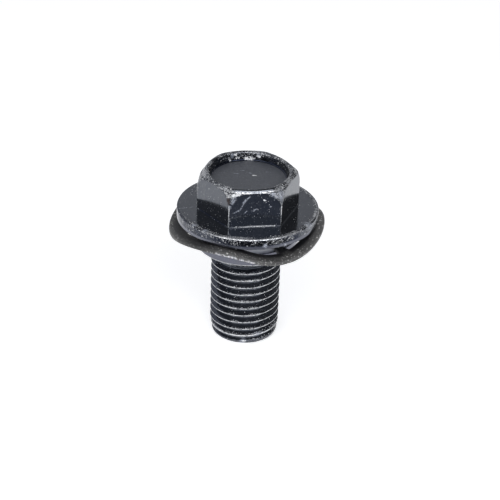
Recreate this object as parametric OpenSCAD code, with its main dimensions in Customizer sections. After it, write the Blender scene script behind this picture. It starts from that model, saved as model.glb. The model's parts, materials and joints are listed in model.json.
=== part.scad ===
// Hex flange bolt with an indented head, a plain shoulder and a captive wave washer.
// It stands on the flat end of its thread: the origin is the centre of that end, and +Z is up the axis.

/* [Thread] */
// Major diameter of the thread, 7/16 inch with 20 turns to the inch
thread_d = 11.11; // [8:0.01:12.6]
// Length from the flat end up to the shoulder
thread_len = 15.9; // [8:0.05:40]
// How far the lead at the end tapers in
tip_step = 0.5; // [0.3:0.05:2]
// Height of the tapered lead at the end
tip_taper_h = 1.1; // [0.5:0.1:3]

/* [Shoulder] */
// Diameter of the plain shoulder
shoulder_d = 16.2; // [14:0.1:18]
// Length from the thread up to the flange
shoulder_len = 4.6; // [3.5:0.05:10]
// Bevel on the lower edge of the shoulder
shoulder_bevel = 0.25; // [0.1:0.05:0.5]
// Depth of the undercut between flange and shoulder, in which the washer's tabs turn
undercut_depth = 0.4; // [0.3:0.05:0.8]

/* [Flange] */
// Diameter of the flange
flange_d = 22.2; // [20.5:0.1:30]
// Thickness of the flange
flange_t = 1.75; // [1.2:0.05:3]
// Radius of the flange's rounded edges
flange_edge_r = 0.2; // [0.1:0.05:0.5]

/* [Head] */
// Width of the hexagon across its flats
hex_af = 14; // [12:0.1:17]
// Radius along the hexagon's upright edges
hex_edge_r = 0.25; // [0.1:0.05:0.8]
// Height of the head above the flange
head_h = 6.35; // [4.5:0.05:9]
// Slope of the bevel from the lip down to the flats, from level
bevel_angle = 62; // [45:1:70]
// Slope of the ledge that the corners have below that bevel, from level
ledge_angle = 20; // [5:1:30]
// Slope of the steep taper below the ledge, from level
corner_taper = 76; // [65:1:82]
// How far the steep taper cuts the corners back at its top
corner_trim = 0.7; // [0.4:0.05:0.8]
// Wall between the recess and the flats
lip_wall = 0.85; // [0.7:0.05:2]
// Radius of the rounded lip around the recess
lip_r = 0.32; // [0.15:0.01:0.4]
// Depth of the recess below the lip
recess_depth = 1.4; // [0.8:0.05:2.5]
// Draft of the recess wall, from upright
recess_draft = 10; // [0:1:20]
// Fillet between the recess wall and its floor
recess_fillet = 0.35; // [0.1:0.05:0.4]

/* [Wave washer] */
// Outer diameter of the washer
washer_d = 24.4; // [23:0.1:32]
// Radial width of the washer's ring
washer_w = 2.5; // [1.8:0.05:3]
// Thickness of the washer's strip
washer_t = 0.75; // [0.4:0.05:1.2]
// Radius of the washer's rounded edges
washer_edge_r = 0.2; // [0.05:0.05:0.2]
// Number of waves around the washer
wave_count = 3; // [2:1:5]
// Rise of a wave from trough to crest
wave_rise = 1.7; // [0.4:0.05:2.2]
// Direction of the first crest, from +X
crest_turn = -7.5; // [-60:0.1:60]
// Angle that each inner tab spans
tab_angle = 13; // [8:1:24]
// Angle over which each side of a tab runs out into the ring
tab_flank = 2.5; // [1:0.5:5]
// Clearance between the tabs and the bottom of the undercut
tab_clear = 0.12; // [0.05:0.01:0.2]
// Play of the washer up and down below the flange
washer_play = 0.05; // [0.03:0.01:0.1]

/* [Hidden] */
$fn = 96;
// Straight steps in each rounded edge, in each tab, and in the ring between two tabs
ARC_STEPS = 6;
TAB_STEPS = 6;
RING_STEPS = 32;
// Room by which the turned head form clears the hexagon's corners, and its bevel the flats
CORNER_ROOM = 0.2;
FLAT_ROOM = 0.05;

// Heights up the axis
shoulder_z = thread_len;
flange_z = shoulder_z + shoulder_len;
head_z = flange_z + flange_t;
lip_z = head_z + head_h;

// Radii about the axis
thread_r = thread_d / 2;
tip_r = thread_r - tip_step;
shoulder_r = shoulder_d / 2;
undercut_r = shoulder_r - undercut_depth;
flange_r = flange_d / 2;
hex_corner_r = hex_af / 2 / cos(30);
recess_r = hex_af / 2 - lip_wall;
lip_crest_r = recess_r + lip_r;
washer_r = washer_d / 2;
washer_inner_r = washer_r - washer_w;
tab_r = undercut_r + tab_clear;

// The washer's crests lie just below the flange, and its tabs, at the troughs, just above the shoulder
wave_pitch = 360 / wave_count;
tab_reach = tab_angle / 2 + tab_flank;
undercut_h = washer_t + wave_rise + 2 * washer_play;
wave_mid_z = flange_z - washer_play - washer_t / 2 - wave_rise / 2;

// Points of a circular arc about (x, y), from angle a to angle b
function arc(x, y, r, a, b) = [
    for (i = [0 : ARC_STEPS])
        let (t = a + (b - a) * i / ARC_STEPS)
        [x + r * cos(t), y + r * sin(t)]
];

// Turned form from the flat end up to the top of the flange
function shank_outline() =
    let (edge_r = flange_r - flange_edge_r)
    concat(
        [[0, 0], [tip_r, 0], [thread_r, tip_taper_h], [thread_r, shoulder_z]],
        [[shoulder_r - shoulder_bevel, shoulder_z], [shoulder_r, shoulder_z + shoulder_bevel]],
        [[shoulder_r, flange_z - undercut_h], [undercut_r, flange_z - undercut_h], [undercut_r, flange_z]],
        arc(edge_r, flange_z + flange_edge_r, flange_edge_r, -90, 0),
        arc(edge_r, head_z - flange_edge_r, flange_edge_r, 0, 90),
        [[0, head_z]]
    );

// Turned form that limits the head: tapered corners with a ledge, bevel, rounded lip, recess wall and floor
function head_outline() =
    let (
        lip = arc(lip_crest_r, lip_z - lip_r, lip_r, 90 - bevel_angle, 180 - recess_draft),
        outer_r = hex_corner_r + CORNER_ROOM,
        bevel_foot_r = hex_af / 2 + FLAT_ROOM,
        bevel_foot_z = lip[0][1] - (bevel_foot_r - lip[0][0]) * tan(bevel_angle),
        ledge_r = hex_corner_r - corner_trim,
        ledge_z = bevel_foot_z - (ledge_r - bevel_foot_r) * tan(ledge_angle),
        taper_foot_z = ledge_z - (outer_r - ledge_r) * tan(corner_taper),
        floor_z = lip_z - recess_depth,
        foot_r = recess_r - (recess_depth - lip_r) * tan(recess_draft) - recess_fillet
    )
    concat(
        [[0, flange_z], [outer_r, flange_z], [outer_r, taper_foot_z]],
        [[ledge_r, ledge_z], [bevel_foot_r, bevel_foot_z]],
        lip,
        arc(foot_r, floor_z + recess_fillet, recess_fillet, -recess_draft, -90),
        [[0, floor_z]]
    );

// Hexagon with rounded corners and with flats that face -Y and +Y
function hex_outline() =
    let (centre_r = hex_corner_r - hex_edge_r / cos(30))
    [
        for (turn = [0 : 60 : 300])
            each arc(centre_r * cos(turn), centre_r * sin(turn), hex_edge_r, turn - 30, turn + 30)
    ];

// Height of the washer's middle surface at angle a
function wave_z(a) = wave_mid_z + wave_rise / 2 * cos(wave_count * (a - crest_turn));

// Angle and inner radius of every section around the washer: a tab at each trough, then plain ring
function washer_stations() = [
    for (k = [0 : wave_count - 1])
        let (trough = crest_turn + (k + 0.5) * wave_pitch, free = wave_pitch - 2 * tab_reach)
        each concat(
            [for (i = [0 : TAB_STEPS]) [trough + tab_angle * (i / TAB_STEPS - 0.5), tab_r]],
            [for (i = [0 : RING_STEPS]) [trough + tab_reach + free * i / RING_STEPS, washer_inner_r]]
        )
];

// Section of the washer's strip from inner radius r, as radius and height, with rounded edges
function strip_section(r) =
    let (e = washer_edge_r, h = washer_t / 2, k = e * (1 - cos(45)))
    [
        [r + e, h], [r + k, h - k], [r, h - e], [r, e - h], [r + k, k - h], [r + e, -h],
        [washer_r - e, -h], [washer_r - k, k - h], [washer_r, e - h],
        [washer_r, h - e], [washer_r - k, h - k], [washer_r - e, h]
    ];

// Forged and turned in one piece: hexagon head, flange, shoulder and threaded shank
module bolt() {
    color([0.10, 0.11, 0.13])
        union() {
            rotate_extrude() polygon(shank_outline());
            intersection() {
                translate([0, 0, flange_z]) linear_extrude(flange_t + head_h) polygon(hex_outline());
                rotate_extrude() polygon(head_outline());
            }
        }
}

// Spring strip swept once around the axis while it rises and falls
module wave_washer() {
    stations = washer_stations();
    turns = len(stations);
    sides = len(strip_section(tab_r));
    points = [
        for (s = stations)
            for (p = strip_section(s[1])) [p[0] * cos(s[0]), p[0] * sin(s[0]), wave_z(s[0]) + p[1]]
    ];
    faces = [
        for (i = [0 : turns - 1])
            for (j = [0 : sides - 1])
                let (
                    here = i * sides,
                    next = (i + 1) % turns * sides,
                    j2 = (j + 1) % sides
                )
                each [[here + j, here + j2, next + j2], [here + j, next + j2, next + j]]
    ];
    color([0.20, 0.19, 0.17]) polyhedron(points, faces, convexity = 6);
}

bolt();
wave_washer();
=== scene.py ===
"""Looks of a hex flange bolt with a captive wave washer: detailed meshes, finishes, stage and camera.

Sizes are in millimetres until a mesh is made. The origin is the centre of the thread's flat end.
"""

import json
import math

import bpy
import numpy as np
from mathutils import Matrix, Vector


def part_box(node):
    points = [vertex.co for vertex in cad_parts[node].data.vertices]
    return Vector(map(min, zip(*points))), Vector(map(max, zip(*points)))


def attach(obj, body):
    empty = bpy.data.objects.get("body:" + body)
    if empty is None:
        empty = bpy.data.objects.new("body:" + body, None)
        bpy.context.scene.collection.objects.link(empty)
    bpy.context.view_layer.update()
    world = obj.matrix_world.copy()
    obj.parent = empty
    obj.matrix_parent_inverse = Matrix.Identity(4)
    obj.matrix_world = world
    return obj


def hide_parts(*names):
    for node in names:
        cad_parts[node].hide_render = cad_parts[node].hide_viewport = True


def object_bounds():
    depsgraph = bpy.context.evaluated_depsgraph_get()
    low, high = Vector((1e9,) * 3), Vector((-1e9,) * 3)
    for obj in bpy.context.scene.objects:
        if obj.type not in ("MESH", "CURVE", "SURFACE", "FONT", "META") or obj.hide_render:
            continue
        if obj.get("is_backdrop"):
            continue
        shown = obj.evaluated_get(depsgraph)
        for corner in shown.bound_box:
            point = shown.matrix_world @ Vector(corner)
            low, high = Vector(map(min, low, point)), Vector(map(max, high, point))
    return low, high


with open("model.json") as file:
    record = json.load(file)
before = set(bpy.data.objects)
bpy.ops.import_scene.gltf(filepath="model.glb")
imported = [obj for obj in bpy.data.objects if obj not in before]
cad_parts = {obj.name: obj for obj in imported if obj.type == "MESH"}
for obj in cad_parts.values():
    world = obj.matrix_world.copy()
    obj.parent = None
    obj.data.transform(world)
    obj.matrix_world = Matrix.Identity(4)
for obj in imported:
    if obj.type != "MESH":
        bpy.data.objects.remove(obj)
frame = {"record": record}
cad_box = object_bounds()

MM = 0.001

# Sizes that the frame gives
MOUNTS = {m["name"]: m for m in frame["record"]["mounts"]}
BOLT_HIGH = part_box("bolt")[1]
WASHER_LOW, WASHER_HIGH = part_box("wave_washer")
THREAD_R = MOUNTS["thread"]["dims"]["r_mm"]
SHOULDER_R = MOUNTS["shoulder"]["dims"]["r_mm"]
SHOULDER_Z = MOUNTS["shoulder_seat"]["pos_m"][2] / MM
FLANGE_R = BOLT_HIGH.y / MM
LIP_Z = BOLT_HIGH.z / MM
WASHER_R = WASHER_HIGH.x / MM

# Sizes of the bolt that the frame doesn't give
HEAD_H = 6.35
FLANGE_T = 1.75
FLANGE_LOW_EDGE_R = 0.12
# Radius of the flange's upper edge at the back and at the front
FLANGE_TOP_EDGE_R = (0.12, 0.3)
HEX_AF = 14.0
HEX_EDGE_R = 0.25
HEX_ROOT_R = 0.12
BEVEL_ANGLE = 54.0
LEDGE_ANGLE = 20.0
CORNER_TAPER = 76.0
CORNER_TRIM = 0.7
# Room by which the turned head form clears the flats and the corners
FLAT_ROOM = 0.05
CORNER_ROOM = 0.25
# How much less each corner is cut back, from the corner at +X on counter-clockwise, and over what angle
CORNER_SPARE = (0.34, 0.22, 0.22, 0.22, 0.26, 0.18)
CORNER_SPARE_ANGLE = 12.0
# Shares of the corner taper and of the ledge between which the corner's knee is rounded
KNEE_START = 0.86
KNEE_END = 0.5
EDGE_SOFTNESS = 0.11
LIP_WALL = 0.85
LIP_R = 0.36
# How much lower the lip is at the front than at the back, and how far below its top that drop is full
LIP_LEAN = 0.22
LIP_LEAN_ROOM = 1.0
RECESS_DEPTH = 1.4
RECESS_DRAFT = 14.0
RECESS_FILLET = 0.22
UNDERCUT_DEPTH = 0.4
UNDERCUT_H = 2.55
UNDERCUT_EDGE_R = 0.08
SHOULDER_BEVEL = 0.25

# Thread: 7/16 inch with 20 turns to the inch, rolled, with one crest seen at a known place
PITCH = 1.27
THREAD_DEPTH = 0.613 * PITCH
CREST_ANGLE = -97.0
CREST_Z = 0.265
NECK_LEN = 1.3
NECK_R = 4.95
NECK_FILLET_R = 0.3
RUNOUT_H = 0.9
# Lead at the end: how far it is cut back at three heights, and how much further on the side it leans to
LEAD_Z = (0.0, 0.12, 2.2)
LEAD_CUT = (0.36, 0.26, 0.0)
LEAD_LEAN = 0.1
LEAD_LEAN_SHARE = (1.0, 1.0, 0.0)
LEAD_LEAN_ANGLE = 170.0
TIP_R = THREAD_R - LEAD_CUT[0]
# One turn, up to the root: share of the pitch from the crest, and share of the depth below it
THREAD_SHAPE = [
    (0.0, 0.0), (0.045, 0.015), (0.075, 0.06), (0.11, 0.14), (0.2, 0.4), (0.29, 0.66),
    (0.36, 0.85), (0.41, 0.95), (0.46, 0.995), (0.5, 1.0),
]
THREAD_TURN = THREAD_SHAPE + [(1 - t, d) for t, d in THREAD_SHAPE[-2:0:-1]]

# Wave washer, a loose fit that sits a little askew
WASHER_W = 2.5
WASHER_T = 0.75
WASHER_EDGE_R = 0.24
WAVE_COUNT = 3
CREST_TURN = -7.5
TAB_ANGLE = 6.0
TAB_FLANK = 2.0
TAB_TURN = 5.0
TAB_CLEARANCE = 0.12
TAB_R = SHOULDER_R - UNDERCUT_DEPTH + TAB_CLEARANCE
# Slope of the washer, as the rise at its rim towards +X and towards +Y
WASHER_TILT = (0.117, 0.109)
# Drop that keeps it off the flange, and shift towards +X and +Y
WASHER_DROP = 0.06
WASHER_SHIFT = (-0.08, 0.01)
# Stretch that is bent up a little: its rise, and its direction and half angle
WASHER_BEND = 0.3
WASHER_BEND_SIDE = (-108.0, 17.0)

FLANGE_TOP_Z = LIP_Z - HEAD_H
FLANGE_Z = FLANGE_TOP_Z - FLANGE_T
HEX_CORNER_R = HEX_AF / 2 / math.cos(math.radians(30))
RECESS_R = HEX_AF / 2 - LIP_WALL
LIP_CREST_R = RECESS_R + LIP_R

# Camera, found by fitting the photograph: it stands off to the left of the front flat
CAMERA_TURN = -9.69
CAMERA_TILT = 29.567
CAMERA_ROLL = 2.1165
CAMERA_DISTANCE = 217.28
CAMERA_SHIFT_X = -0.589
CAMERA_SHIFT_Y = 5.4227
FOCAL_PIXELS = 1386.26
FRAME_PIXELS = 500
SENSOR = 36.0

# Mesh columns in each sixth of a turn, crowded towards the hexagon's corners
SECTOR_COLUMNS = 40
COLUMN_CROWDING = 1.6
# Edges that turn by more than this stay sharp
SHARP_ANGLE = 42.0


def column_angles():
    """Angles of the mesh columns, in radians, from -30 degrees on."""
    t = np.linspace(-1, 1, SECTOR_COLUMNS + 1)[:-1]
    offset = 30 * np.sign(t) * np.abs(t) ** COLUMN_CROWDING
    return np.radians(np.concatenate([60 * k + offset for k in range(6)]))


ANGLES = column_angles()
COLUMNS = len(ANGLES)
ONES = np.ones(COLUMNS)
CORNER_OFFSET = np.abs((np.degrees(ANGLES) + 30) % 60 - 30)
# 1 where the bolt faces the camera, 0 at its back
FRONTNESS = (1 - np.sin(ANGLES - math.radians(CAMERA_TURN))) / 2


def near_angle(degrees, middle, half_angle, power=2):
    """1 in the direction middle, falling off at half_angle on either side of it; angles in degrees."""
    away = (degrees - middle + 180) % 360 - 180
    return np.exp(-((away / half_angle) ** power))


def columns_near(side):
    """How near each mesh column is to a side, given as direction, half angle and sharpness."""
    return near_angle(np.degrees(ANGLES), *side)


def sum_near(amounts):
    """Sum, for each mesh column, of an amount for each side that it is near."""
    return sum(amount * columns_near(side) for side, amount in amounts)


def blend(pair, share):
    """From the first number of the pair to the second while share goes from 0 to 1."""
    return pair[0] + (pair[1] - pair[0]) * share


def smooth_step(x):
    x = np.clip(x, 0, 1)
    return x * x * (3 - 2 * x)


def soft_min(a, b, softness):
    """The smaller of a and b, with the change from one to the other rounded off."""
    h = np.clip(0.5 + 0.5 * (b - a) / softness, 0, 1)
    return b + (a - b) * h - softness * h * (1 - h)


def part_way(start, end, share):
    """The (radius, height) pair that lies a share of the way from start to end."""
    return tuple(a + (b - a) * share for a, b in zip(start, end))


def straight(start, end, steps):
    """(radius, height) pairs from start up to, but not with, end."""
    for share in np.linspace(0, 1, steps, endpoint=False):
        yield part_way(start, end, share)


def rounded(start, corner, end, steps):
    """(radius, height) pairs of a curve that rounds off a corner, up to, but not with, end."""
    for s in np.linspace(0, 1, steps, endpoint=False):
        weights = (1 - s) ** 2, 2 * s * (1 - s), s * s
        yield tuple(sum(w * v for w, v in zip(weights, values)) for values in zip(start, corner, end))


def arc(r, z, radius, start, end, steps):
    """(radius, height) pairs along a circular arc; angles in degrees, 0 pointing outward and 90 up."""
    for a in np.radians(np.linspace(start, end, steps)):
        yield r + radius * math.cos(a), z + radius * math.sin(a)


class Turned:
    """A closed surface of rings, from the lowest centre point out and round to the highest."""

    def __init__(self):
        self.points = []
        self.levels = {"wear": [], "matte_and_shade": [], "bare": []}
        self.rings = []
        self.count = 0

    def add(self, r, z, wear=0.0, matte_and_shade=0.0, bare=0.0):
        """One ring of vertices; each value is a number or one number for each column."""
        self.points.append(np.stack([r * np.cos(ANGLES), r * np.sin(ANGLES), ONES * z], 1))
        for key, value in (("wear", wear), ("matte_and_shade", matte_and_shade), ("bare", bare)):
            self.levels[key].append(ONES * value)
        index = np.arange(self.count, self.count + COLUMNS)
        self.count += COLUMNS
        self.rings.append(np.append(index, index[0]))

    def add_all(self, pairs, wear=0.0, matte_and_shade=0.0, bare=0.0):
        for r, z in pairs:
            self.add(r, z, wear, matte_and_shade, bare)

    def build(self, name):
        """The mesh object, with vertices that coincide joined."""
        places = np.round(np.concatenate(self.points), 4)
        points, first, joined = np.unique(places, axis=0, return_index=True, return_inverse=True)
        quads = np.concatenate([
            np.stack([a[:-1], a[1:], b[1:], b[:-1]], 1) for a, b in zip(self.rings, self.rings[1:])
        ])
        faces = []
        for quad in joined.ravel()[quads]:
            face = list(dict.fromkeys(quad.tolist()))
            if len(face) > 2:
                faces.append(face)
        levels = {key: np.concatenate(rings)[first] for key, rings in self.levels.items()}
        return mesh_object(name, points, faces, levels)


def mesh_object(name, points, faces, attributes):
    """A smooth mesh object from points in millimetres, with one number for each vertex in each attribute."""
    mesh = bpy.data.meshes.new(name)
    mesh.from_pydata((np.asarray(points) * MM).tolist(), [], faces)
    mesh.validate()
    for key, values in attributes.items():
        layer = mesh.attributes.new(key, "FLOAT", "POINT")
        layer.data.foreach_set("value", np.asarray(values, np.float32))
    mesh.shade_smooth()
    mesh.set_sharp_from_angle(angle=math.radians(SHARP_ANGLE))
    obj = bpy.data.objects.new(name, mesh)
    bpy.context.scene.collection.objects.link(obj)
    return obj


# Wear of the thread: how much, and as a share of the pitch how wide, on the crests at the sides and the front
CREST_WEAR = 2.0
CREST_WEAR_WIDTH = (0.046, 0.06)
# Dust on the flank above each crest: how much, where it begins, and its share at the sides and the front
FLANK_WEAR = 0.8
FLANK_START = 0.12
FLANK_SHARE = (0.6, 1.0)
# How far it spreads on most turns and on the last one, and the height at which that one ends
FLANK_SPREAD = (0.16, 0.3)
LAST_TURN_Z = 2.7
LAST_TURN_FADE = 0.5
# Wear of the tapered lead at heights above the end, and of the flat end
LEAD_WEAR_Z = (0.3, 0.9, 1.5)
LEAD_WEAR = (0.55, 0.8, 1.3)
END_WEAR = 0.3
# Painted shade on the thread: how much its colour is darkened on most sides and on the left
THREAD_SHADE = (-0.22, -0.55)
THREAD_FRONT = (-98, 45, 2)
THREAD_LEFT = (-180, 50, 2)


def turn_wear(t, z):
    """Wear of a thread row at share t of the pitch above the crest: rubbed crest, dusty flank above it."""
    front = columns_near(THREAD_FRONT)
    crest = CREST_WEAR * np.exp(-((min(t, 1 - t) / blend(CREST_WEAR_WIDTH, front)) ** 2))
    if t >= 0.5:
        return crest
    last = smooth_step((LAST_TURN_Z - z) / LAST_TURN_FADE)
    flank = FLANK_WEAR * np.exp(-((max(t - FLANK_START, 0) / blend(FLANK_SPREAD, last)) ** 2))
    return np.maximum(crest, flank * np.maximum(blend(FLANK_SHARE, front), last))


def add_thread(form):
    """Helical rows of the thread, cut by the tapered lead below and running out into the neck above."""
    turn = (ANGLES - ANGLES[0]) / (2 * math.pi)
    crest_turn = (math.radians(CREST_ANGLE) - ANGLES[0]) / (2 * math.pi) % 1
    start_z = CREST_Z - PITCH * crest_turn
    top_z = SHOULDER_Z - NECK_LEN
    turns = math.ceil((top_z - start_z) / PITCH) + 1
    lean = LEAD_LEAN * (1 + np.cos(ANGLES - math.radians(LEAD_LEAN_ANGLE))) / 2
    # Painted shade: the thread darkened a little, and more on the left
    painted_shade = blend(THREAD_SHADE, columns_near(THREAD_LEFT))
    rows = [(k, t, d) for k in range(-1, turns) for t, d in THREAD_TURN]
    base = form.count
    for j, (k, t, depth) in enumerate(rows):
        z = np.clip(start_z + PITCH * (k + t + turn), 0, top_z)
        fade = smooth_step((z - top_z + RUNOUT_H) / RUNOUT_H)
        r = (THREAD_R - THREAD_DEPTH * depth) * (1 - fade) + NECK_R * fade
        lead = THREAD_R - np.interp(z, LEAD_Z, LEAD_CUT) - lean * np.interp(z, LEAD_Z, LEAD_LEAN_SHARE)
        wear = np.where(lead < r, np.interp(z, LEAD_WEAR_Z, LEAD_WEAR), turn_wear(t, z) * (1 - fade))
        form.add(np.minimum(r, lead), z, wear, painted_shade)
        # The row's last face joins the row one turn further up, so the turns follow on
        above = min(j + len(THREAD_TURN), len(rows) - 1)
        form.rings[-1][-1] = base + above * COLUMNS


# Wear of the shoulder: on its faces, round its lower edge, just above that, and at the undercut
SHOULDER_WEAR = 0.2
SHOULDER_EDGE_WEAR = (0.2, 0.3, 0.5, 0.8, 1.2, 1.25, 1.2, 0.6)
SHOULDER_FOOT_WEAR = 0.3
UNDERCUT_EDGE_WEAR = 0.6
UNDERCUT_WEAR = 0.5
# Rings of the seat, outward from the thread and inward from the bevel, and of the side, in from its edges
SEAT_START = 0.4
SEAT_INSETS = (0.3, 0.05)
SIDE_START = 0.15
SIDE_LOW_INSET = 0.6
SIDE_HIGH_INSET = 0.12
# Values of the attribute by which the material tells these two surfaces: the shoulder worn to brighter metal,
# the undercut pale with painted light
SHOULDER_BARE = 1
UNDERCUT_PAINTED = 2


def add_shoulder(form):
    """Seat, rounded lower edge, plain side and undercut."""
    bevel_r, bevel_z = SHOULDER_R - SHOULDER_BEVEL, SHOULDER_Z + SHOULDER_BEVEL
    undercut_r, undercut_z = SHOULDER_R - UNDERCUT_DEPTH, FLANGE_Z - UNDERCUT_H
    form.add(THREAD_R + SEAT_START, SHOULDER_Z)
    form.add_all([(bevel_r - inset, SHOULDER_Z) for inset in SEAT_INSETS], SHOULDER_WEAR)
    low_edge = arc(bevel_r, bevel_z, SHOULDER_BEVEL, -90, 0, len(SHOULDER_EDGE_WEAR))
    for (r, z), wear in zip(low_edge, SHOULDER_EDGE_WEAR):
        form.add(r, z, wear, bare=SHOULDER_BARE)
    form.add(SHOULDER_R, bevel_z + SIDE_START, SHOULDER_FOOT_WEAR, bare=SHOULDER_BARE)
    heights = np.linspace(SHOULDER_Z + SIDE_LOW_INSET, undercut_z - SIDE_HIGH_INSET, 6)
    form.add_all([(SHOULDER_R, z) for z in heights], SHOULDER_WEAR, bare=SHOULDER_BARE)
    high_edge = arc(SHOULDER_R - UNDERCUT_EDGE_R, undercut_z - UNDERCUT_EDGE_R, UNDERCUT_EDGE_R, 0, 90, 4)
    form.add_all(high_edge, UNDERCUT_EDGE_WEAR, bare=SHOULDER_BARE)
    form.add_all([(undercut_r, undercut_z), (undercut_r, FLANGE_Z)], UNDERCUT_WEAR, bare=UNDERCUT_PAINTED)


def add_shank(form):
    """Flat end, thread, neck and shoulder."""
    form.add(0, 0)
    form.add_all([(TIP_R * share, 0) for share in (0.35, 0.7, 0.92)], END_WEAR)
    add_thread(form)
    fillet_z = SHOULDER_Z - NECK_FILLET_R
    form.add(NECK_R, fillet_z)
    form.add_all(arc(NECK_R + NECK_FILLET_R, fillet_z, NECK_FILLET_R, 180, 90, 5))
    add_shoulder(form)


# Sides of the flange that wear in their own way: direction, half angle, and how sharply they end
FLANGE_LEFT = (-165, 40, 4)
FLANGE_FAR_LEFT = (-197, 30, 4)
FLANGE_FRONT = (-95, 42, 6)
RIM_BLACK = (-88, 33, 6)
# Rim: wear low and high on it, height share at which the upper band begins, and painted shade that darkens
# that band, most at the front
RIM_WEAR = (0.3, 0.68)
RIM_LOW_EDGE_WEAR = 0.6
RIM_BAND = 0.28
RIM_BAND_FADE = 0.16
RIM_SHADE = ((FLANGE_LEFT, 0.55), (FLANGE_FRONT, 0.3), (RIM_BLACK, 1.2))
# Worn metal on the rim's lower band; on the left, where it is over 1, a little of the undercut's painted
# light mixes in
RIM_BARE = (0.9, 1.2)
FAR_LEFT_CLEAN = 0.3
# Upper edge: angle and half angle of the polished line along it, wear of that line, and wear beside it
EDGE_LINE_ANGLE = 50
EDGE_LINE_HALF = 24
EDGE_LINE_WEAR = 0.78
EDGE_LINE_MORE = (((-102, 24, 4), 0.7), ((-70, 16, 4), 0.35), (FLANGE_FAR_LEFT, -FAR_LEFT_CLEAN))
EDGE_SIDE_WEAR = 0.72
# Painted shade on the edge at the left and the front
EDGE_SHADE = 0.5
# Top: wear at shares of the way in from the edge, and how much of it the far left lacks
FLANGE_TOP_WEAR = [
    (0.0, 0.86), (0.05, 0.82), (0.12, 0.7), (0.2, 0.5), (0.32, 0.3),
    (0.5, 0.15), (0.7, 0.1), (0.9, 0.1), (1.0, 0.3),
]
FLANGE_TOP_CLEAN = 0.6
# Insets of the outermost rings of the flat top and of the underside from the rounded edges
FLANGE_TOP_INSET = 0.12
FLANGE_LOW_INSET = 0.1


def add_rim(form, low_z, top_z):
    """Side of the rim: worn to brighter metal on its lower part, pitted and darkened by painted shade on its
    upper part.
    """
    left, far_left = columns_near(FLANGE_LEFT), columns_near(FLANGE_FAR_LEFT)
    for share in np.linspace(0.06, 0.94, 13):
        upper = smooth_step((share - RIM_BAND) / RIM_BAND_FADE)
        wear = blend(RIM_WEAR, upper) - FAR_LEFT_CLEAN * far_left
        bare = (1 - upper) * blend(RIM_BARE, left)
        # Painted shade darkens the upper band, most at the front
        form.add(FLANGE_R, low_z + (top_z - low_z) * share, wear, -upper * sum_near(RIM_SHADE), bare)


def add_rim_edge(form, start_z, radius):
    """Rounded upper edge of the rim, with a polished line along it."""
    left, front = columns_near(FLANGE_LEFT), columns_near(FLANGE_FRONT)
    line_wear = EDGE_LINE_WEAR + sum_near(EDGE_LINE_MORE)
    side_wear = EDGE_SIDE_WEAR - FAR_LEFT_CLEAN * columns_near(FLANGE_FAR_LEFT)
    for degrees in np.linspace(0, 90, 10):
        a = math.radians(degrees)
        on_line = abs(degrees - EDGE_LINE_ANGLE) < EDGE_LINE_HALF
        wear = line_wear if on_line else side_wear
        # Painted shade: on the line at the left, and beside it at the left and the front
        painted_shade = -EDGE_SHADE * left if on_line else -EDGE_SHADE * (left + front)
        form.add(FLANGE_R - radius * (1 - math.cos(a)), start_z + radius * math.sin(a), wear, painted_shade)


def add_flange(form):
    """Underside, rim with rounded edges, and the flat top up to the hexagon's root."""
    low = FLANGE_LOW_EDGE_R
    top = blend(FLANGE_TOP_EDGE_R, FRONTNESS)
    form.add_all([(r, FLANGE_Z) for r in np.linspace(SHOULDER_R, FLANGE_R - low - FLANGE_LOW_INSET, 6)])
    form.add_all(arc(FLANGE_R - low, FLANGE_Z + low, low, -90, 0, 7), RIM_LOW_EDGE_WEAR)
    add_rim(form, FLANGE_Z + low, FLANGE_TOP_Z - top)
    add_rim_edge(form, FLANGE_TOP_Z - top, top)
    root = hex_radius() + HEX_ROOT_R
    outer = FLANGE_R - top - FLANGE_TOP_INSET
    most_wear = 1 - FLANGE_TOP_CLEAN * columns_near(FLANGE_FAR_LEFT)
    for share, wear in FLANGE_TOP_WEAR:
        form.add(outer + (root - outer) * share, FLANGE_TOP_Z, np.minimum(wear, most_wear))


def hex_radius():
    """Radius of the rounded hexagon at each column."""
    off = np.radians(CORNER_OFFSET)
    centre = HEX_CORNER_R - HEX_EDGE_R / math.cos(math.radians(30))
    flat = HEX_AF / 2 / np.cos(np.radians(30) - off)
    under = np.maximum(HEX_EDGE_R**2 - (centre * np.sin(off)) ** 2, 0)
    corner = centre * np.cos(off) + np.sqrt(under)
    reach = math.atan2(HEX_EDGE_R * 0.5, centre + HEX_EDGE_R * math.cos(math.radians(30)))
    return np.where(off < reach, corner, flat)


# Sides of the hexagon that wear in their own way
HEX_FRONT = (-90, 26, 6)
HEX_LEFT = (-150, 26, 6)
# Upright edges: wear, and the half angle over which it shows
EDGE_WEAR = 1.35
EDGE_WEAR_ANGLE = 1.1
# Root: wear, what corners and the front have more, and painted shade in the root fillet on the left
ROOT_WEAR = 0.25
ROOT_CORNER_WEAR = 0.4
ROOT_FRONT_WEAR = 0.95
ROOT_SHADE = 1.15
# Wear up the turned form, at the sides and at the front
TAPER_WEAR = (0.5, 0.5)
KNEE_WEAR = (0.84, 0.84)
LEDGE_WEAR = (0.75, 0.75)
BEVEL_LOW_WEAR = (0.88, 1.4)
BEVEL_HIGH_WEAR = (0.84, 0.5)
LIP_WEAR = (0.8, 0.35)
# Line where the turned form meets the flats: its wear at the sides and the front, half width and fade
FLAT_LINE_WEAR = (0.85, 1.35)
FLAT_LINE_WIDTH = 0.09
FLAT_LINE_FADE = 0.1
# Recess: wear of its wall and of its fillet
RECESS_WEAR = 0.62
RECESS_FILLET_WEAR = 0.1


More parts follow.
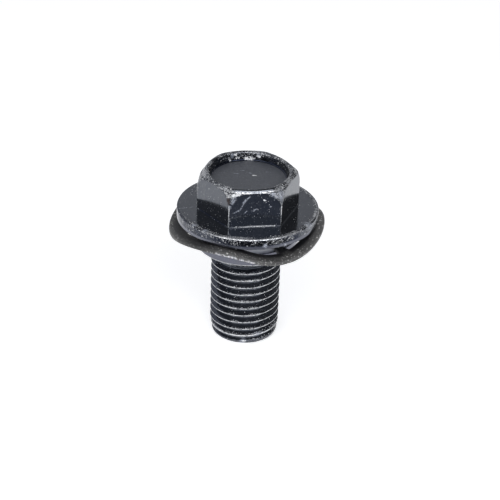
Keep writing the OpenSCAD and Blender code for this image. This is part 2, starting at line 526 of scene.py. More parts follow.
def head_form():
    """Turned form from the corner taper's foot up to the lip: radius, height and pair of wear values."""
    lip = list(arc(LIP_CREST_R, LIP_Z - LIP_R, LIP_R, 90 - BEVEL_ANGLE, 180 - RECESS_DRAFT, 14))
    foot_r = HEX_AF / 2 + FLAT_ROOM
    bevel_foot = foot_r, lip[0][1] - (foot_r - lip[0][0]) * math.tan(math.radians(BEVEL_ANGLE))
    ledge_r = HEX_CORNER_R - CORNER_TRIM
    ledge = ledge_r, bevel_foot[1] - (ledge_r - foot_r) * math.tan(math.radians(LEDGE_ANGLE))
    taper_r = HEX_CORNER_R + CORNER_ROOM
    taper_foot = taper_r, ledge[1] - (taper_r - ledge_r) * math.tan(math.radians(CORNER_TAPER))
    knee_low = part_way(taper_foot, ledge, KNEE_START)
    knee_high = part_way(ledge, bevel_foot, KNEE_END)
    bevel = list(straight(bevel_foot, lip[0], 12))
    stretches = [
        (straight(taper_foot, knee_low, 22), TAPER_WEAR),
        (rounded(knee_low, ledge, knee_high, 8), KNEE_WEAR),
        (straight(knee_high, bevel_foot, 3), LEDGE_WEAR),
        (bevel[:6], BEVEL_LOW_WEAR),
        (bevel[6:], BEVEL_HIGH_WEAR),
        (lip, LIP_WEAR),
    ]
    return [(r, z, wear) for pairs, wear in stretches for r, z in pairs]


def add_flats(form, corner_wear, top_z):
    """Root fillet and flats, up to the foot of the corner taper."""
    hex_r = hex_radius()
    root_wear = ROOT_WEAR + ROOT_CORNER_WEAR * corner_wear + ROOT_FRONT_WEAR * columns_near(HEX_FRONT)
    # Painted shade in the root fillet on the left
    root_painted_shade = -ROOT_SHADE * columns_near(HEX_LEFT)
    for a in np.radians(np.linspace(-75, 0, 5)):
        r = hex_r + HEX_ROOT_R * (1 - math.cos(a))
        form.add(r, FLANGE_TOP_Z + HEX_ROOT_R * (1 + math.sin(a)), root_wear, root_painted_shade)
    low_z = FLANGE_TOP_Z + HEX_ROOT_R
    for share in (0.1, 0.3, 0.5, 0.7, 0.9):
        form.add(hex_r, low_z + (top_z - low_z) * share, EDGE_WEAR * corner_wear)


def add_recess(form, wall_r, wall_z):
    """Drafted wall, fillet and flat floor, with the wall's top leaning as the lip does."""
    floor_z = LIP_Z - RECESS_DEPTH
    foot_r = wall_r - (wall_z - floor_z - RECESS_FILLET) * math.tan(math.radians(RECESS_DRAFT))
    centre_r, centre_z = foot_r - RECESS_FILLET, floor_z + RECESS_FILLET
    fillet = list(arc(centre_r, centre_z, RECESS_FILLET, -RECESS_DRAFT, -90, 7))
    for share in (0.02, 0.2, 0.4, 0.6, 0.8):
        r, z = part_way((wall_r, wall_z), fillet[0], share)
        form.add(r, z - LIP_LEAN * FRONTNESS * (1 - share), RECESS_WEAR)
    # Painted shade in the fillet and on the floor's outermost ring; the rest of the floor has a dull coat
    form.add_all(fillet[:-1], RECESS_FILLET_WEAR, -1.0)
    for share in (1, 0.99, 0.95, 0.8, 0.6, 0.4, 0.2, 0):
        form.add(fillet[-1][0] * share, floor_z, 0.0, -1.0 if share == 1 else 1.0)


def add_head(form):
    """Hexagon with a root fillet, tapered corners, bevelled and rounded lip, and round recess."""
    hex_r = hex_radius()
    front = columns_near(HEX_FRONT)
    corner_wear = np.exp(-((CORNER_OFFSET / EDGE_WEAR_ANGLE) ** 2))
    sector = np.round(np.degrees(ANGLES) / 60).astype(int) % 6
    spare = np.array(CORNER_SPARE)[sector] * np.exp(-((CORNER_OFFSET / CORNER_SPARE_ANGLE) ** 2))
    top = head_form()
    wall_top = top[0][1]
    add_flats(form, corner_wear, wall_top)
    for r, z, wear in top:
        lean = LIP_LEAN * FRONTNESS * smooth_step((z - wall_top) / (LIP_Z - wall_top - LIP_LEAN_ROOM))
        turned = r + spare * np.clip((r - RECESS_R) / LIP_R, 0, 1)
        line = blend(FLAT_LINE_WEAR, front) * np.exp(-(((turned - hex_r) / FLAT_LINE_WIDTH) ** 2))
        on_flat = np.clip((turned - hex_r) / FLAT_LINE_FADE, 0, 1)
        wear = blend(wear, front) * (1 - on_flat) + EDGE_WEAR * corner_wear * on_flat
        form.add(soft_min(turned, hex_r, EDGE_SOFTNESS), z - lean, np.maximum(wear, line))
    add_recess(form, *top[-1][:2])


def make_bolt():
    form = Turned()
    add_shank(form)
    add_flange(form)
    add_head(form)
    return form.build("bolt_forging")


# Painted shade on the washer's top under the flange's edge: radius at which it ends, what two sides have
# more, and the width of its edge
FLANGE_SHADE_R = 10.6
FLANGE_SHADE_LEFT = 0.7
FLANGE_SHADE_LEFT_SIDE = (190, 45)
FLANGE_SHADE_RIGHT = 0.1
FLANGE_SHADE_RIGHT_SIDE = (-20, 40)
FLANGE_SHADE_FADE = 0.55
# Painted shade throughout the washer on the side the flange shades, and painted light on top at the right
# front
PAINTED_SHADOW_SHARE = 0.8
PAINTED_SHADOW_SIDE = (-140, 18)
PAINTED_LIGHT_SIDE = (-35, 45)
# Height above the strip's middle from which a point counts as on top
STRIP_TOP = 0.2
# Reach of the wear in from the strip's edges, of its bright lower edge, and the height where that ends
STRIP_WEAR_REACH = 0.8 * WASHER_EDGE_R
LOW_EDGE_REACH = 0.9 * WASHER_EDGE_R
LOW_EDGE_H = -0.1


def washer_stations():
    """(angle in degrees, inner radius) around the washer: a tab by each trough, then plain ring."""
    pitch = 360 / WAVE_COUNT
    reach = TAB_ANGLE / 2 + TAB_FLANK
    plain = WASHER_R - WASHER_W
    for k in range(WAVE_COUNT):
        tab = CREST_TURN + TAB_TURN + (k + 0.5) * pitch
        for share in np.linspace(-0.5, 0.5, 13):
            yield tab + TAB_ANGLE * share, TAB_R
        for share in np.linspace(0, 1, 67):
            yield tab + reach + (pitch - 2 * reach) * share, plain


def washer_section(inner_r):
    """Section of the strip, as radius and height, round from the top of the inner edge."""
    e, h = WASHER_EDGE_R, WASHER_T / 2
    pairs = [*arc(inner_r + e, h - e, e, 90, 180, 5), *arc(inner_r + e, e - h, e, 180, 270, 5)]
    pairs += [(inner_r + (WASHER_R - inner_r) * share, -h) for share in (0.35, 0.65)]
    pairs += [*arc(WASHER_R - e, e - h, e, -90, 0, 6), *arc(WASHER_R - e, h - e, e, 0, 90, 6)]
    pairs += [(WASHER_R - inset, h) for inset in (0.42, 0.65, 0.9, 1.2)]
    pairs += [(inner_r + (WASHER_R - inner_r) * share, h) for share in (0.4, 0.2)]
    return pairs


def washer_height(degrees):
    """Height of the strip's middle, before the washer's slope."""
    low, high = WASHER_LOW.z / MM, WASHER_HIGH.z / MM
    swing = (high - low - WASHER_T) / 2
    wave = swing * math.cos(WAVE_COUNT * math.radians(degrees - CREST_TURN))
    return (low + high) / 2 - WASHER_DROP + wave + WASHER_BEND * near_angle(degrees, *WASHER_BEND_SIDE)


def washer_flange_shade(degrees, r, h):
    """Share of painted shade at a point of the section: under the flange's edge on top, and throughout on the
    shaded side.
    """
    reach = FLANGE_SHADE_R + FLANGE_SHADE_LEFT * near_angle(degrees, *FLANGE_SHADE_LEFT_SIDE)
    reach += FLANGE_SHADE_RIGHT * near_angle(degrees, *FLANGE_SHADE_RIGHT_SIDE)
    inner = np.interp(r, (reach, reach + FLANGE_SHADE_FADE), (1, 0)) * (h > STRIP_TOP)
    return max(PAINTED_SHADOW_SHARE * near_angle(degrees, *PAINTED_SHADOW_SIDE), inner)


def make_washer():
    """The spring strip, swept round the axis while it rises and falls."""
    points, faces = [], []
    levels = {"wear": [], "low_edge": [], "flange_shade": [], "pale": []}
    stations = list(washer_stations())
    for degrees, inner_r in stations:
        a = math.radians(degrees)
        middle = washer_height(degrees)
        slope = (WASHER_TILT[0] * math.cos(a) + WASHER_TILT[1] * math.sin(a)) / WASHER_R
        for r, h in washer_section(inner_r):
            x, y = r * math.cos(a) + WASHER_SHIFT[0], r * math.sin(a) + WASHER_SHIFT[1]
            points.append((x, y, middle + h + slope * r))
            on_edge = min(r - inner_r, WASHER_R - r) < STRIP_WEAR_REACH
            levels["wear"].append(float(on_edge))
            levels["low_edge"].append(float(WASHER_R - r < LOW_EDGE_REACH and h < LOW_EDGE_H))
            # Painted shade from the flange
            levels["flange_shade"].append(washer_flange_shade(degrees, r, h))
            # Painted light on top of the strip at the right front
            levels["pale"].append(near_angle(degrees, *PAINTED_LIGHT_SIDE) * (h > STRIP_TOP))
    sides = len(points) // len(stations)
    for i in range(len(stations)):
        here, after = i * sides, (i + 1) % len(stations) * sides
        for j in range(sides):
            k = (j + 1) % sides
            faces.append((here + j, here + k, after + k, after + j))
    return mesh_object("wave_washer_strip", points, faces, levels)


class Shader:
    """Short calls that add nodes to a new material around one surface shader."""

    def __init__(self, name):
        self.material = bpy.data.materials.new(name)
        self.material.use_nodes = True
        self.tree = self.material.node_tree
        self.surface = self.tree.nodes["Principled BSDF"]
        self.place = self.node("ShaderNodeTexCoord").outputs["Object"]

    def node(self, kind, **settings):
        made = self.tree.nodes.new(kind)
        for key, value in settings.items():
            setattr(made, key, value)
        return made

    def put(self, socket, value):
        """Links value to the socket, or sets it there if it is a number, colour or vector."""
        if isinstance(value, bpy.types.NodeSocket):
            self.tree.links.new(value, socket)
        else:
            socket.default_value = value

    def math(self, operation, a, b=0.0):
        made = self.node("ShaderNodeMath", operation=operation)
        self.put(made.inputs[0], a)
        self.put(made.inputs[1], b)
        return made.outputs[0]

    def times(self, first, *others):
        for other in others:
            first = self.math("MULTIPLY", first, other)
        return first

    def most(self, first, *others):
        for other in others:
            first = self.math("MAXIMUM", first, other)
        return first

    def vector(self, operation, a, b):
        made = self.node("ShaderNodeVectorMath", operation=operation)
        self.put(made.inputs[0], a)
        self.put(made.inputs[1], b)
        return made.outputs["Value"] if operation in ("DISTANCE", "DOT_PRODUCT") else made.outputs[0]

    def noise(self, scale, detail=3.0, roughness=0.5, place=None):
        made = self.node("ShaderNodeTexNoise")
        self.put(made.inputs["Vector"], place or self.place)
        made.inputs["Scale"].default_value = scale
        made.inputs["Detail"].default_value = detail
        made.inputs["Roughness"].default_value = roughness
        return made.outputs["Fac"]

    def step(self, value, low, high, start=0.0, end=1.0):
        """Smooth rise from start to end while value goes from low to high."""
        made = self.node("ShaderNodeMapRange", interpolation_type="SMOOTHSTEP")
        self.put(made.inputs["Value"], value)
        for key, number in (("From Min", low), ("From Max", high), ("To Min", start), ("To Max", end)):
            made.inputs[key].default_value = number
        return made.outputs["Result"]

    def mix(self, share, a, b):
        made = self.node("ShaderNodeMix", data_type="RGBA")
        self.put(made.inputs["Factor"], share)
        self.put(made.inputs[6], a)
        self.put(made.inputs[7], b)
        return made.outputs[2]

    def attribute(self, name):
        return self.node("ShaderNodeAttribute", attribute_name=name).outputs["Fac"]

    def specks(self, scale, size, share):
        """Small round spots in a share of the cells of a random pattern."""
        made = self.node("ShaderNodeTexVoronoi")
        self.put(made.inputs["Vector"], self.place)
        made.inputs["Scale"].default_value = scale
        split = self.node("ShaderNodeSeparateColor")
        self.put(split.inputs[0], made.outputs["Color"])
        chosen = self.math("GREATER_THAN", split.outputs[0], 1 - share)
        return self.times(self.step(made.outputs["Distance"], size, size * 0.5), chosen)

    def ragged(self, away, size):
        """A distance made uneven, so that a mark of that size has a torn outline."""
        uneven = self.math("SUBTRACT", self.noise(2600, 2, 0.6), 0.5)
        return self.math("ADD", away, self.times(uneven, 2.2 * size * MM))

    def spot(self, centre, radius):
        """1 near a point, falling to 0 at the radius; both in millimetres."""
        away = self.ragged(self.vector("DISTANCE", self.place, Vector(centre) * MM), radius)
        return self.step(away, radius * MM, 0.4 * radius * MM)

    def scratch(self, start, end, width):
        """1 along the line between two points, falling to 0 at half the width; all in millimetres."""
        start, along = Vector(start) * MM, (Vector(end) - Vector(start)) * MM
        from_start = self.vector("SUBTRACT", self.place, start)
        share = self.vector("DOT_PRODUCT", from_start, along / along.length_squared)
        share = self.math("MINIMUM", self.math("MAXIMUM", share, 0.0), 1.0)
        near = self.node("ShaderNodeVectorMath", operation="SCALE")
        near.inputs[0].default_value = along
        self.put(near.inputs["Scale"], share)
        away = self.vector("DISTANCE", from_start, near.outputs[0])
        return self.step(self.ragged(away, width / 2), width / 2 * MM, 0.15 * width * MM)

    def brushed(self):
        """Places squeezed along the axis, for a pattern of upright streaks."""
        return self.vector("MULTIPLY", self.place, (4, 4, 0.5))

    def bump(self, height, strength, depth):
        """Bends the surface by a height pattern whose full depth is in millimetres."""
        made = self.node("ShaderNodeBump")
        made.inputs["Strength"].default_value = strength
        made.inputs["Distance"].default_value = depth * MM
        self.put(made.inputs["Height"], height)
        self.put(self.surface.inputs["Normal"], made.outputs[0])


# Marks seen on the bolt, as places in its frame: scratches by start, end and width
FRONT_Y = -HEX_AF / 2
FLOOR_Z = LIP_Z - RECESS_DEPTH
SCRATCHES = [
    ((-0.9, FRONT_Y, 27.4), (-1.65, FRONT_Y, 26.75), 0.34),
    ((-1.45, FRONT_Y, 26.95), (-1.8, FRONT_Y, 26.45), 0.6),
    ((-1.7, FRONT_Y, 26.5), (-2.35, FRONT_Y, 25.2), 0.28),
    ((-3.25, FRONT_Y, 24.75), (-2.6, FRONT_Y, 25.1), 0.3),
    ((-2.55, FRONT_Y, 25.2), (-2.5, FRONT_Y, 24.7), 0.25),
    ((-3.55, FRONT_Y, 26.4), (-3.1, FRONT_Y, 27.15), 0.6),
    ((-0.3, FRONT_Y, 25.0), (0.2, FRONT_Y, 25.35), 0.32),
    ((-1.55, FRONT_Y, 24.75), (-1.3, FRONT_Y, 25.0), 0.28),
    ((-10.8, -0.06, FLANGE_TOP_Z), (-8.6, 0.25, FLANGE_TOP_Z), 0.14),
    ((-2.1, 1.5, FLOOR_Z), (-1.5, 1.3, FLOOR_Z), 0.2),
    ((-0.9, 2.4, FLOOR_Z), (-0.4, 2.3, FLOOR_Z), 0.18),
    ((0.2, 1.5, FLOOR_Z), (0.6, 1.2, FLOOR_Z), 0.24),
    ((2.9, 1.5, FLOOR_Z), (3.6, 1.35, FLOOR_Z), 0.18),
    ((0.9, -5.4, 1.75), (3.3, -4.3, 1.3), 0.9),
]
# Chips by centre and radius; the two on the back of the lip and the last, at the thread's end, are painted
# highlights
CHIPS = [
    ((1.0, -11.05, 21.2), 0.5),
    ((4.25, -10.25, 20.7), 0.3),
    ((8.25, -6.95, FLANGE_TOP_Z), 1.0),
    ((-9.0, -5.6, FLANGE_TOP_Z), 0.7),
    ((-7.6, -7.5, FLANGE_TOP_Z), 0.7),
    ((-3.4, FRONT_Y, 26.95), 0.55),
    ((-3.95, -6.95, 25.8), 0.4),
    ((2.3, FRONT_Y, 25.6), 0.2),
    ((2.6, -6.95, 27.6), 0.6),
    ((3.2, -6.9, 27.2), 0.5),
    ((3.85, -6.7, 27.0), 0.6),
    ((3.9, -6.6, 27.5), 0.9),
    # Painted highlights: pale spots where the lamp's glints show on the back of the lip
    ((2.4, 5.6, 28.0), 0.5),
    ((-1.8, 5.9, 28.0), 0.5),
    # Painted highlight where a glint shows at the thread's end
    ((-0.9, -5.2, 0.45), 0.8),
]
# Painted highlights: places painted white where glints of light show, by start, end and width
PAINTED_GLINTS = [
    ((0.4, 6.0, 27.5), (1.5, 5.9, 27.5), 0.8),
    ((0.9, 5.95, 28.25), (1.7, 5.8, 28.3), 0.3),
    ((2.2, 5.65, 28.0), (2.6, 5.5, 27.9), 0.4),
    ((-1.35, 5.95, 28.2), (-1.2, 6.0, 28.2), 0.5),
    ((-2.25, 5.45, 27.55), (-2.2, 5.5, 27.5), 0.5),
    ((-1.15, 5.9, 27.6), (-0.75, 5.95, 27.65), 0.4),
    ((-3.4, -6.8, 27.6), (-2.5, -6.95, 27.8), 0.6),
    ((0.75, 0.52, FLOOR_Z), (1.2, 0.42, FLOOR_Z), 0.34),
    ((1.3, FRONT_Y, 26.72), (1.5, FRONT_Y, 26.66), 0.4),
    ((-0.9, -5.2, 0.5), (-0.6, -5.25, 0.5), 0.42),
    ((-0.8, -5.5, 11.85), (0.3, -5.5, 11.95), 0.35),
]
RUST_MARK = ((-4.1, -6.75, 27.6), (-4.15, -6.8, 26.4), 0.9)

# Colours of the plating; a pair is mixed by a pattern
PLATING = ((0.09, 0.098, 0.115, 1), (0.127, 0.136, 0.154, 1))
PLATING_STREAK = (0.152, 0.154, 0.159, 1)
SHOULDER_COLOUR = (0.135, 0.14, 0.168, 1)
# Painted light: pale grey, less metallic, on the undercut, in place of the floor's light it reflects
UNDERCUT_PAINTED_LIGHT = (0.42, 0.43, 0.47, 1)
RECESS_COAT = ((0.078, 0.084, 0.096, 1), (0.106, 0.112, 0.127, 1))
# Painted shade: the blue and the black to which shaded places are darkened
SHADE_BLUE = (0.03, 0.036, 0.056, 1)
SHADE_BLACK = (0.008, 0.009, 0.011, 1)
RUST = (0.04, 0.03, 0.028, 1)
PIT = (0.014, 0.015, 0.018, 1)
# Colours of its chips, rubbed places, marks and dust, and the white of its painted highlights
CHIPPED = ((0.13, 0.135, 0.145, 1), (0.8, 0.805, 0.82, 1))
RUBBED = (0.72, 0.725, 0.74, 1)
MARKED = (0.52, 0.55, 0.62, 1)
DUST = (0.75, 0.75, 0.75, 1)
PAINTED_HIGHLIGHT = (0.95, 0.95, 0.95, 1)


def plating_wear(s, wear):
    """Shares of chips and rubbed places where the wear is high, and of the dark pits among them."""
    patch = s.step(s.noise(520, 3), 0.32, 0.66, 0.74, 1.0)
    level = s.math("ADD", s.times(wear, patch, 0.42), s.times(s.noise(5000, 3, 0.7), 0.62))
    rub = s.times(s.step(wear, 1.0, 1.3), s.step(s.noise(2000, 4, 0.65), 0.36, 0.56, 0.2, 1.0))
    unrubbed = s.math("SUBTRACT", 1.0, rub)
    chip = s.times(s.step(level, 0.6, 0.66), unrubbed)
    pits = s.times(s.step(s.noise(4600, 3, 0.7), 0.48, 0.42), s.step(wear, 0.45, 0.8), unrubbed)
    return chip, rub, pits


def plating_marks(s):
    """Shares of scratches and chips at the places seen, and of the painted white highlights."""
    broken = s.step(s.noise(2600, 3, 0.65), 0.36, 0.56)
    marks = s.times(s.most(*(s.spot(*c) for c in CHIPS), *(s.scratch(*c) for c in SCRATCHES)), broken)
    painted_glint = s.times(s.most(*(s.scratch(*c) for c in PAINTED_GLINTS)), s.step(s.noise(3000, 2), 0.3, 0.45))
    return marks, painted_glint


def plating_dust(s, wear, matte_and_shade):
    """Share of pale specks: fine ones in patches, fewer on the recess floor, and grit on worn places."""
    fine = s.most(
        s.specks(1400, 0.12, 0.35),
        s.times(s.specks(2300, 0.17, 0.5), 0.8),
        s.times(s.specks(3600, 0.24, 0.6), 0.45),
    )
    patch = s.step(s.noise(260, 2), 0.35, 0.6, 0.3, 1.0)
    fine = s.times(fine, patch, s.step(matte_and_shade, 0.3, 0.9, 1.0, 0.3))
    grit = s.times(s.specks(2500, 0.34, 0.42), s.step(wear, 0.45, 0.7))
    return s.most(fine, s.times(grit, s.step(s.noise(1500, 2), 0.4, 0.55)))


def plating_base(s, matte_and_shade, bare, pits):
    """Colour of the unworn plating: worn brighter on the shoulder, pale with painted light on the undercut, a
    dull coat on the recess floor, and painted shade, dark blue to black, where the thread, rim, root and
    recess fillet are darkened.
    """
    base = s.mix(s.noise(600, 3), *PLATING)
    streaks = s.step(s.noise(900, 2, 0.5, s.brushed()), 0.3, 0.7, 0.0, 0.35)
    base = s.mix(streaks, base, PLATING_STREAK)
    base = s.mix(bare, base, SHOULDER_COLOUR)
    # Painted light on the undercut: pale grey
    base = s.mix(s.step(bare, SHOULDER_BARE, UNDERCUT_PAINTED), base, UNDERCUT_PAINTED_LIGHT)
    coat = s.mix(s.step(s.noise(3000, 4, 0.7), 0.3, 0.7), *RECESS_COAT)
    base = s.mix(s.step(matte_and_shade, 0.1, 0.9), base, coat)
    # Painted shade: darker blue, then black, where the attribute falls below 0
    base = s.mix(s.step(matte_and_shade, -0.1, -0.8), base, SHADE_BLUE)
    base = s.mix(s.step(matte_and_shade, -1.0, -1.6), base, SHADE_BLACK)
    base = s.mix(s.times(s.scratch(*RUST_MARK), 0.9), base, RUST)
    return s.mix(s.times(pits, 0.82), base, PIT)


def plating():
    """Glossy blue-black plating, chipped to grey on its edges, scratched, with fine pale specks, painted
    white highlights and painted shade.
    """
    s = Shader("black_plating")
    wear, matte_and_shade, bare = (s.attribute(name) for name in ("wear", "matte_and_shade", "bare"))
    chip, rub, pits = plating_wear(s, wear)
    marks, painted_glint = plating_marks(s)
    dust = plating_dust(s, wear, matte_and_shade)
    colour = s.mix(chip, plating_base(s, matte_and_shade, bare, pits), s.mix(s.noise(3400, 3), *CHIPPED))
    colour = s.mix(rub, colour, RUBBED)
    colour = s.mix(s.times(marks, 0.8), colour, MARKED)
    colour = s.mix(dust, colour, DUST)
    # Painted highlights: the glint places painted white
    s.put(s.surface.inputs["Base Color"], s.mix(painted_glint, colour, PAINTED_HIGHLIGHT))
    soft = s.most(
        s.times(dust, 0.9),
        s.times(s.most(marks, chip), 0.5),
        painted_glint,
        s.times(matte_and_shade, 0.75),
        s.step(bare, 1.3, 2.0, 0.0, 0.7),
    )
    s.put(s.surface.inputs["Metallic"], s.math("SUBTRACT", 1.0, soft))
    rough = s.most(
        s.step(s.noise(1800, 4, 0.6), 0.3, 0.7, 0.08, 0.16),
        s.times(chip, 0.3),
        s.times(matte_and_shade, 0.34),
        s.times(rub, 0.22),
        s.times(soft, 0.6),
    )
    s.put(s.surface.inputs["Roughness"], rough)
    grain = s.times(s.most(chip, marks), s.noise(6000, 2, 0.6))
    s.bump(s.math("ADD", s.times(s.noise(2200, 3), 0.12), grain), 0.7, 0.05)
    return s.material


# Stretch of the washer's lower edge that is rubbed bright: centre and radius
WASHER_RUB = ((-3.7, -11.6, 19.3), 3.9)
# Colours of the washer; the pair is mixed by a pattern
STRIP = ((0.05, 0.049, 0.048, 1), (0.088, 0.086, 0.082, 1))
STRIP_GRAIN = (0.19, 0.188, 0.185, 1)
# Painted light on the top of the washer at the right front
STRIP_PAINTED_LIGHT = (0.17, 0.166, 0.162, 1)
STRIP_EDGE = (0.1, 0.098, 0.093, 1)
STRIP_RUBBED = (0.17, 0.165, 0.155, 1)
STRIP_SPECK = (0.62, 0.61, 0.59, 1)
# Painted shade where the flange shades the washer
STRIP_FLANGE_SHADE = (0.006, 0.006, 0.007, 1)
STRIP_BRIGHT = (0.95, 0.95, 0.97, 1)


def dull_steel():
    """Dull black coating with a fine grain, rubbed edges and pale specks, painted light on one side of its
    top and painted shade from the flange.
    """
    s = Shader("dull_spring_steel")
    wear = s.attribute("wear")
    grain = s.noise(3800, 5, 0.65)
    colour = s.mix(s.step(s.noise(300, 3), 0.3, 0.7), *STRIP)
    colour = s.mix(s.step(grain, 0.5, 0.78), colour, STRIP_GRAIN)
    # Painted light on the top at the right front
    colour = s.mix(s.times(s.attribute("pale"), 0.34), colour, STRIP_PAINTED_LIGHT)
    colour = s.mix(s.times(wear, 0.3), colour, STRIP_EDGE)
    colour = s.mix(s.times(wear, s.step(s.noise(900, 3), 0.45, 0.7), 0.5), colour, STRIP_RUBBED)
    specks = s.most(
        s.specks(1500, 0.28, 0.42),
        s.times(s.specks(2600, 0.34, 0.6), 0.7),
        s.times(s.specks(3800, 0.34, 0.5), 0.3),
    )
    colour = s.mix(s.times(specks, 0.95), colour, STRIP_SPECK)
    # Painted shade from the flange, darkest under its edge
    colour = s.mix(s.attribute("flange_shade"), colour, STRIP_FLANGE_SHADE)
    bright = s.times(s.attribute("low_edge"), s.spot(*WASHER_RUB))
    bright = s.times(bright, s.step(s.noise(2400, 3, 0.65), 0.42, 0.58))
    s.put(s.surface.inputs["Base Color"], s.mix(bright, colour, STRIP_BRIGHT))
    s.put(s.surface.inputs["Metallic"], bright)
    s.put(s.surface.inputs["Roughness"], s.step(grain, 0.3, 0.7, 0.36, 0.55))
    s.bump(grain, 0.5, 0.03)
    return s.material


# Stage, in metres: a white floor, and a room that is brighter on one side
FLOOR_SIZE = 3.0
FLOOR_COLOUR = (0.86, 0.86, 0.86, 1)
FLOOR_ROUGHNESS = 0.9
FLOOR_GLOW = 0.56
ROOM_COLOUR = (0.97, 0.99, 1.04, 1)
ROOM_BRIGHT = 0.64
ROOM_DIM = 0.12
ROOM_BRIGHT_SIDE = (-0.769, 0.639, 0.0)
# How far a direction points to the bright side where the room is dim and where it is bright
ROOM_FADE = (-0.6, 0.9)
# Lamps: name, place and size in metres, power in watts, and colour
LAMP_TARGET = (0, 0, 0.02)
LAMPS = [
    ("front_softbox", (-0.024, -0.2915, 0.293), (0.8, 0.11), 1.1, (1, 1, 1)),
    ("front_fill", (0.06, -0.36, 0.228), (0.5, 0.2), 0.29, (0.86, 0.95, 1.12)),
]


def background_rays(tree):
    """1 for rays from the camera or off a glossy or clear surface, 0 for light that falls on the object."""
    rays = tree.nodes.new("ShaderNodeLightPath")
    total = rays.outputs["Is Camera Ray"]
    for name in ("Is Glossy Ray", "Is Transmission Ray"):
        add = tree.nodes.new("ShaderNodeMath")
        add.operation = "MAXIMUM"
        tree.links.new(total, add.inputs[0])
        tree.links.new(rays.outputs[name], add.inputs[1])
        total = add.outputs[0]
    return total


def make_floor():
    x = FLOOR_SIZE / 2
    mesh = bpy.data.meshes.new("floor")
    mesh.from_pydata([(-x, -x, 0), (x, -x, 0), (x, x, 0), (-x, x, 0)], [], [(0, 1, 2, 3)])
    floor = bpy.data.objects.new("floor", mesh)
    bpy.context.scene.collection.objects.link(floor)
    floor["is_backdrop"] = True
    material = bpy.data.materials.new("white_floor")
    material.use_nodes = True
    tree = material.node_tree
    surface = tree.nodes["Principled BSDF"]
    surface.inputs["Base Color"].default_value = FLOOR_COLOUR
    surface.inputs["Roughness"].default_value = FLOOR_ROUGHNESS
    surface.inputs["Emission Color"].default_value = (1, 1, 1, 1)
    glow = tree.nodes.new("ShaderNodeMath")
    glow.operation = "MULTIPLY"
    tree.links.new(background_rays(tree), glow.inputs[0])
    glow.inputs[1].default_value = FLOOR_GLOW
    tree.links.new(glow.outputs[0], surface.inputs["Emission Strength"])
    mesh.materials.append(material)


# Dark card with soft edges that lies on the floor before the bolt and shows only in its gloss
CARD_Z = 0.3
CARD_COLUMNS = 45
CARD_EDGE_COLOUR = (0.97, 0.97, 0.97, 1)
CARD_COLOUR = (0.1, 0.12, 0.175, 1)
# How dark the card is at four radii, and at six angles from the camera's right
CARD_RADII = (44.0, 50.0, 70.0, 260.0)
CARD_RADIAL = (0.0, 1.0, 1.0, 1.0)
CARD_ANGLES = (-142.0, -130.0, -118.0, -60.0, -52.0, -40.0)
CARD_ANGULAR = (0.0, 0.5, 1.0, 1.0, 0.5, 0.0)


def card_material():
    s = Shader("dark_card")
    s.put(s.surface.inputs["Base Color"], (0, 0, 0, 1))
    glow = s.mix(s.attribute("shade"), CARD_EDGE_COLOUR, CARD_COLOUR)
    s.put(s.surface.inputs["Emission Color"], glow)
    s.put(s.surface.inputs["Emission Strength"], 1.0)
    return s.material


def make_card():
    """A sector of a ring whose colour goes from the floor's white at its edges to dark in its middle."""
    points, shade, faces = [], [], []
    for r, radial in zip(CARD_RADII, CARD_RADIAL):
        for degrees in np.linspace(CARD_ANGLES[0], CARD_ANGLES[-1], CARD_COLUMNS):
            a = math.radians(degrees + CAMERA_TURN)
            points.append((r * math.cos(a), r * math.sin(a), CARD_Z))
            shade.append(radial * np.interp(degrees, CARD_ANGLES, CARD_ANGULAR))
    for i in range(len(CARD_RADII) - 1):
        for j in range(CARD_COLUMNS - 1):
            k = i * CARD_COLUMNS + j
            faces.append((k, k + 1, k + CARD_COLUMNS + 1, k + CARD_COLUMNS))
    card = mesh_object("dark_card", points, faces, {"shade": shade})
    card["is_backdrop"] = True
    card.data.materials.append(card_material())
    card.visible_camera = False
    card.visible_diffuse = False
    card.visible_shadow = False
    card.visible_transmission = False


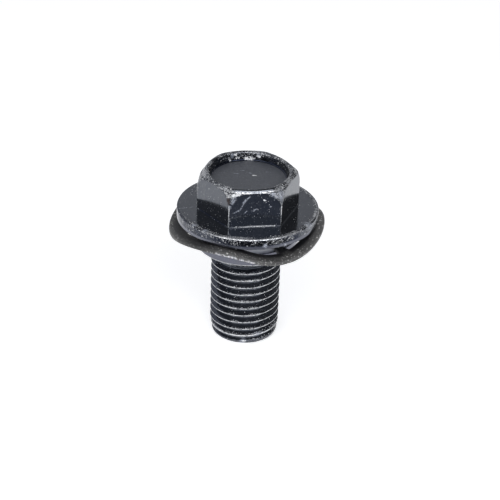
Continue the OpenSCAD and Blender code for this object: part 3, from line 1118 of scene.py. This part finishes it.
def make_world():
    """A plain grey room, brighter at the back and the left, which lights the bolt and shows in its gloss."""
    world = bpy.data.worlds.new("studio")
    bpy.context.scene.world = world
    world.use_nodes = True
    tree = world.node_tree
    back = tree.nodes["Background"]
    back.inputs["Color"].default_value = ROOM_COLOUR
    place = tree.nodes.new("ShaderNodeTexCoord")
    side = tree.nodes.new("ShaderNodeVectorMath")
    side.operation = "DOT_PRODUCT"
    tree.links.new(place.outputs["Generated"], side.inputs[0])
    side.inputs[1].default_value = ROOM_BRIGHT_SIDE
    room = tree.nodes.new("ShaderNodeMapRange")
    room.interpolation_type = "SMOOTHSTEP"
    tree.links.new(side.outputs["Value"], room.inputs["Value"])
    room.inputs["From Min"].default_value, room.inputs["From Max"].default_value = ROOM_FADE
    room.inputs["To Min"].default_value = ROOM_DIM
    room.inputs["To Max"].default_value = ROOM_BRIGHT
    tree.links.new(room.outputs[0], back.inputs["Strength"])


def make_lamp(name, place, size, power, colour):
    lamp = bpy.data.lights.new(name, "AREA")
    lamp.shape = "RECTANGLE"
    lamp.size, lamp.size_y = size
    lamp.energy = power
    lamp.color = colour
    obj = bpy.data.objects.new(name, lamp)
    obj.location = place
    obj.rotation_euler = (Vector(LAMP_TARGET) - Vector(place)).to_track_quat("-Z", "Y").to_euler()
    bpy.context.scene.collection.objects.link(obj)


def make_camera():
    turn, tilt, roll = (math.radians(a) for a in (CAMERA_TURN, CAMERA_TILT, CAMERA_ROLL))
    spin = Matrix.Rotation(turn, 3, "Z")
    right = spin @ Vector((1, 0, 0))
    ahead = spin @ Vector((0, math.cos(tilt), -math.sin(tilt)))
    up = spin @ Vector((0, math.sin(tilt), math.cos(tilt)))
    shift = right * CAMERA_SHIFT_X + up * CAMERA_SHIFT_Y
    place = Vector((0, 0, FLANGE_Z)) - shift - ahead * CAMERA_DISTANCE
    side = right * math.cos(roll) + up * math.sin(roll)
    top = up * math.cos(roll) - right * math.sin(roll)
    data = bpy.data.cameras.new("camera")
    data.sensor_width = SENSOR
    data.lens = SENSOR * FOCAL_PIXELS / FRAME_PIXELS
    data.clip_start = 0.01
    camera = bpy.data.objects.new("camera", data)
    axes = Matrix((side, top, -ahead)).transposed()
    camera.matrix_world = Matrix.Translation(place * MM) @ axes.to_4x4()
    bpy.context.scene.collection.objects.link(camera)
    bpy.context.scene.camera = camera


bolt = make_bolt()
bolt.data.materials.append(plating())
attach(bolt, "bolt")
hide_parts("bolt")

washer = make_washer()
washer.data.materials.append(dull_steel())
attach(washer, "washer")
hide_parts("wave_washer")

make_floor()
make_card()
make_world()
for lamp in LAMPS:
    make_lamp(*lamp)
make_camera()
bpy.context.scene.view_settings.view_transform = "Standard"

boxes = {"cad": cad_box, "visual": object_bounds()}
{key: [list(corner) for corner in box] for key, box in boxes.items()}
